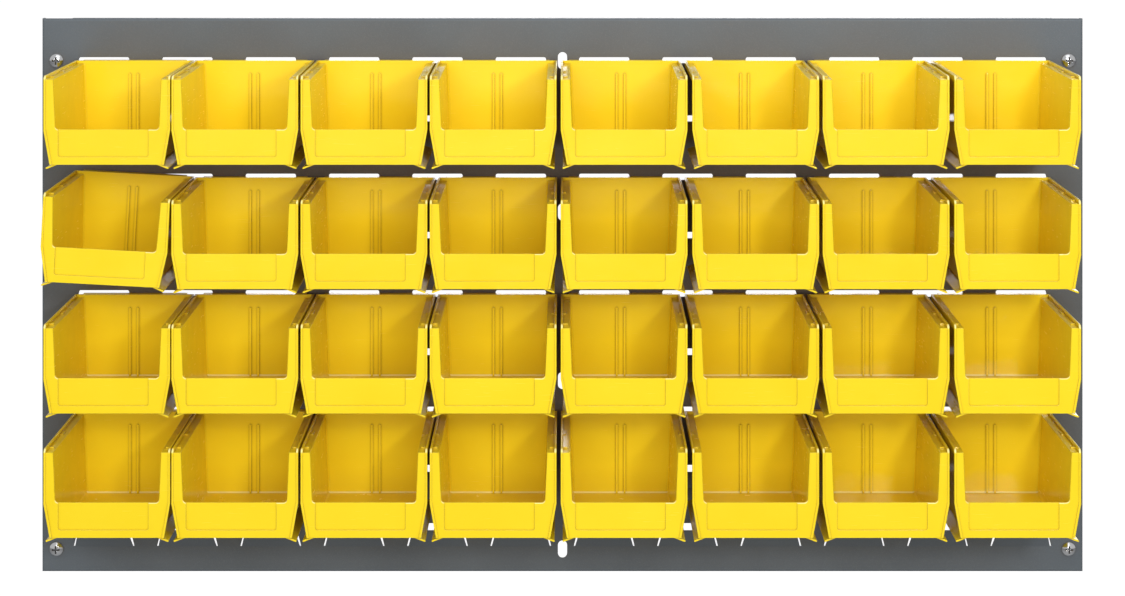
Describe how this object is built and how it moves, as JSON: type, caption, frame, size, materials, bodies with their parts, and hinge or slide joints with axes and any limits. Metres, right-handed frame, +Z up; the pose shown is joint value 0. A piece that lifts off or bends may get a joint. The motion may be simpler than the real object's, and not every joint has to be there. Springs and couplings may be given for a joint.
{
  "type": "louvred wall panel with hanging parts bins",
  "caption": "Grey louvred steel wall panel, screwed on along both ends, carrying rows of yellow open-front plastic bins that hook over its louvres and lift off.",
  "frame": {"origin": "centre of the four corner screws' pattern, on the plane of the wall the panel's turned-back edges rest on", "axes": "+X along the panel's width, to the right as seen from the room; +Y into the wall; +Z up"},
  "size_m": [0.908, 0.169, 0.4826],
  "materials": {
    "panel_paint": "satin grey powder coat",
    "screw_chrome": "bright plated",
    "bin_plastic": "semi-gloss moulded polypropylene"
  },
  "bodies": {
    "panel": {"louvred_panel": "panel_paint", "corner_screws": "screw_chrome", "middle_screws": "screw_chrome"},
    "bin_r1_c1": {"bin_r1_c1": "bin_plastic"},
    "bin_r1_c2": {"bin_r1_c2": "bin_plastic"},
    "bin_r1_c3": {"bin_r1_c3": "bin_plastic"},
    "bin_r1_c4": {"bin_r1_c4": "bin_plastic"},
    "bin_r1_c5": {"bin_r1_c5": "bin_plastic"},
    "bin_r1_c6": {"bin_r1_c6": "bin_plastic"},
    "bin_r1_c7": {"bin_r1_c7": "bin_plastic"},
    "bin_r1_c8": {"bin_r1_c8": "bin_plastic"},
    "bin_r2_c1": {"bin_r2_c1": "bin_plastic"},
    "bin_r2_c2": {"bin_r2_c2": "bin_plastic"},
    "bin_r2_c3": {"bin_r2_c3": "bin_plastic"},
    "bin_r2_c4": {"bin_r2_c4": "bin_plastic"},
    "bin_r2_c5": {"bin_r2_c5": "bin_plastic"},
    "bin_r2_c6": {"bin_r2_c6": "bin_plastic"},
    "bin_r2_c7": {"bin_r2_c7": "bin_plastic"},
    "bin_r2_c8": {"bin_r2_c8": "bin_plastic"},
    "bin_r3_c1": {"bin_r3_c1": "bin_plastic"},
    "bin_r3_c2": {"bin_r3_c2": "bin_plastic"},
    "bin_r3_c3": {"bin_r3_c3": "bin_plastic"},
    "bin_r3_c4": {"bin_r3_c4": "bin_plastic"},
    "bin_r3_c5": {"bin_r3_c5": "bin_plastic"},
    "bin_r3_c6": {"bin_r3_c6": "bin_plastic"},
    "bin_r3_c7": {"bin_r3_c7": "bin_plastic"},
    "bin_r3_c8": {"bin_r3_c8": "bin_plastic"},
    "bin_r4_c1": {"bin_r4_c1": "bin_plastic"},
    "bin_r4_c2": {"bin_r4_c2": "bin_plastic"},
    "bin_r4_c3": {"bin_r4_c3": "bin_plastic"},
    "bin_r4_c4": {"bin_r4_c4": "bin_plastic"},
    "bin_r4_c5": {"bin_r4_c5": "bin_plastic"},
    "bin_r4_c6": {"bin_r4_c6": "bin_plastic"},
    "bin_r4_c7": {"bin_r4_c7": "bin_plastic"},
    "bin_r4_c8": {"bin_r4_c8": "bin_plastic"}
  },
  "joints": [
    {"name": "lift_r1_c1", "type": "slide", "parent": "panel", "child": "bin_r1_c1", "axis": [0, 0, 1], "range_m": [0, 0.02]},
    {"name": "lift_r1_c2", "type": "slide", "parent": "panel", "child": "bin_r1_c2", "axis": [0, 0, 1], "range_m": [0, 0.02]},
    {"name": "lift_r1_c3", "type": "slide", "parent": "panel", "child": "bin_r1_c3", "axis": [0, 0, 1], "range_m": [0, 0.02]},
    {"name": "lift_r1_c4", "type": "slide", "parent": "panel", "child": "bin_r1_c4", "axis": [0, 0, 1], "range_m": [0, 0.02]},
    {"name": "lift_r1_c5", "type": "slide", "parent": "panel", "child": "bin_r1_c5", "axis": [0, 0, 1], "range_m": [0, 0.02]},
    {"name": "lift_r1_c6", "type": "slide", "parent": "panel", "child": "bin_r1_c6", "axis": [0, 0, 1], "range_m": [0, 0.02]},
    {"name": "lift_r1_c7", "type": "slide", "parent": "panel", "child": "bin_r1_c7", "axis": [0, 0, 1], "range_m": [0, 0.02]},
    {"name": "lift_r1_c8", "type": "slide", "parent": "panel", "child": "bin_r1_c8", "axis": [0, 0, 1], "range_m": [0, 0.02]},
    {"name": "lift_r2_c1", "type": "slide", "parent": "panel", "child": "bin_r2_c1", "axis": [0, 0, 1], "range_m": [0, 0.017]},
    {"name": "lift_r2_c2", "type": "slide", "parent": "panel", "child": "bin_r2_c2", "axis": [0, 0, 1], "range_m": [0, 0.02]},
    {"name": "lift_r2_c3", "type": "slide", "parent": "panel", "child": "bin_r2_c3", "axis": [0, 0, 1], "range_m": [0, 0.02]},
    {"name": "lift_r2_c4", "type": "slide", "parent": "panel", "child": "bin_r2_c4", "axis": [0, 0, 1], "range_m": [0, 0.02]},
    {"name": "lift_r2_c5", "type": "slide", "parent": "panel", "child": "bin_r2_c5", "axis": [0, 0, 1], "range_m": [0, 0.02]},
    {"name": "lift_r2_c6", "type": "slide", "parent": "panel", "child": "bin_r2_c6", "axis": [0, 0, 1], "range_m": [0, 0.02]},
    {"name": "lift_r2_c7", "type": "slide", "parent": "panel", "child": "bin_r2_c7", "axis": [0, 0, 1], "range_m": [0, 0.02]},
    {"name": "lift_r2_c8", "type": "slide", "parent": "panel", "child": "bin_r2_c8", "axis": [0, 0, 1], "range_m": [0, 0.02]},
    {"name": "lift_r3_c1", "type": "slide", "parent": "panel", "child": "bin_r3_c1", "axis": [0, 0, 1], "range_m": [0, 0.02]},
    {"name": "lift_r3_c2", "type": "slide", "parent": "panel", "child": "bin_r3_c2", "axis": [0, 0, 1], "range_m": [0, 0.02]},
    {"name": "lift_r3_c3", "type": "slide", "parent": "panel", "child": "bin_r3_c3", "axis": [0, 0, 1], "range_m": [0, 0.02]},
    {"name": "lift_r3_c4", "type": "slide", "parent": "panel", "child": "bin_r3_c4", "axis": [0, 0, 1], "range_m": [0, 0.02]},
    {"name": "lift_r3_c5", "type": "slide", "parent": "panel", "child": "bin_r3_c5", "axis": [0, 0, 1], "range_m": [0, 0.02]},
    {"name": "lift_r3_c6", "type": "slide", "parent": "panel", "child": "bin_r3_c6", "axis": [0, 0, 1], "range_m": [0, 0.02]},
    {"name": "lift_r3_c7", "type": "slide", "parent": "panel", "child": "bin_r3_c7", "axis": [0, 0, 1], "range_m": [0, 0.02]},
    {"name": "lift_r3_c8", "type": "slide", "parent": "panel", "child": "bin_r3_c8", "axis": [0, 0, 1], "range_m": [0, 0.02]},
    {"name": "lift_r4_c1", "type": "slide", "parent": "panel", "child": "bin_r4_c1", "axis": [0, 0, 1], "range_m": [0, 0.02]},
    {"name": "lift_r4_c2", "type": "slide", "parent": "panel", "child": "bin_r4_c2", "axis": [0, 0, 1], "range_m": [0, 0.02]},
    {"name": "lift_r4_c3", "type": "slide", "parent": "panel", "child": "bin_r4_c3", "axis": [0, 0, 1], "range_m": [0, 0.02]},
    {"name": "lift_r4_c4", "type": "slide", "parent": "panel", "child": "bin_r4_c4", "axis": [0, 0, 1], "range_m": [0, 0.02]},
    {"name": "lift_r4_c5", "type": "slide", "parent": "panel", "child": "bin_r4_c5", "axis": [0, 0, 1], "range_m": [0, 0.02]},
    {"name": "lift_r4_c6", "type": "slide", "parent": "panel", "child": "bin_r4_c6", "axis": [0, 0, 1], "range_m": [0, 0.02]},
    {"name": "lift_r4_c7", "type": "slide", "parent": "panel", "child": "bin_r4_c7", "axis": [0, 0, 1], "range_m": [0, 0.02]},
    {"name": "lift_r4_c8", "type": "slide", "parent": "panel", "child": "bin_r4_c8", "axis": [0, 0, 1], "range_m": [0, 0.02]}
  ]
}
